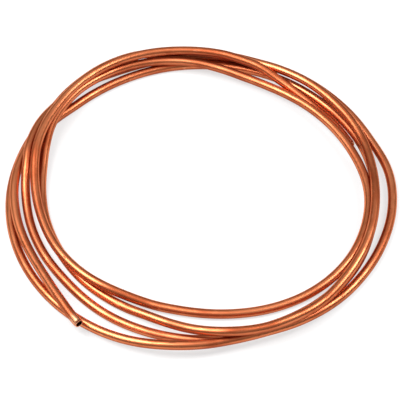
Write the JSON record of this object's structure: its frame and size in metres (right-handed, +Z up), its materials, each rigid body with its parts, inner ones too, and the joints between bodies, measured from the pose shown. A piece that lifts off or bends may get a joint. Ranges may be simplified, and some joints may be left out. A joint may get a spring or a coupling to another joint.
{
  "type": "copper tube coil",
  "caption": "Loose flat coil of soft copper tube, its turns crossing each other, with both ends cut square and open.",
  "frame": {"origin": "centre of the coil's box, on the surface it lies on", "axes": "+X to the right and +Y away from the viewer as in the picture, +Z up through the eye of the coil"},
  "size_m": [0.2732, 0.2694, 0.0227],
  "materials": {
    "copper": "satin"
  },
  "bodies": {
    "root": {"copper_tube": "copper"}
  },
  "joints": []
}
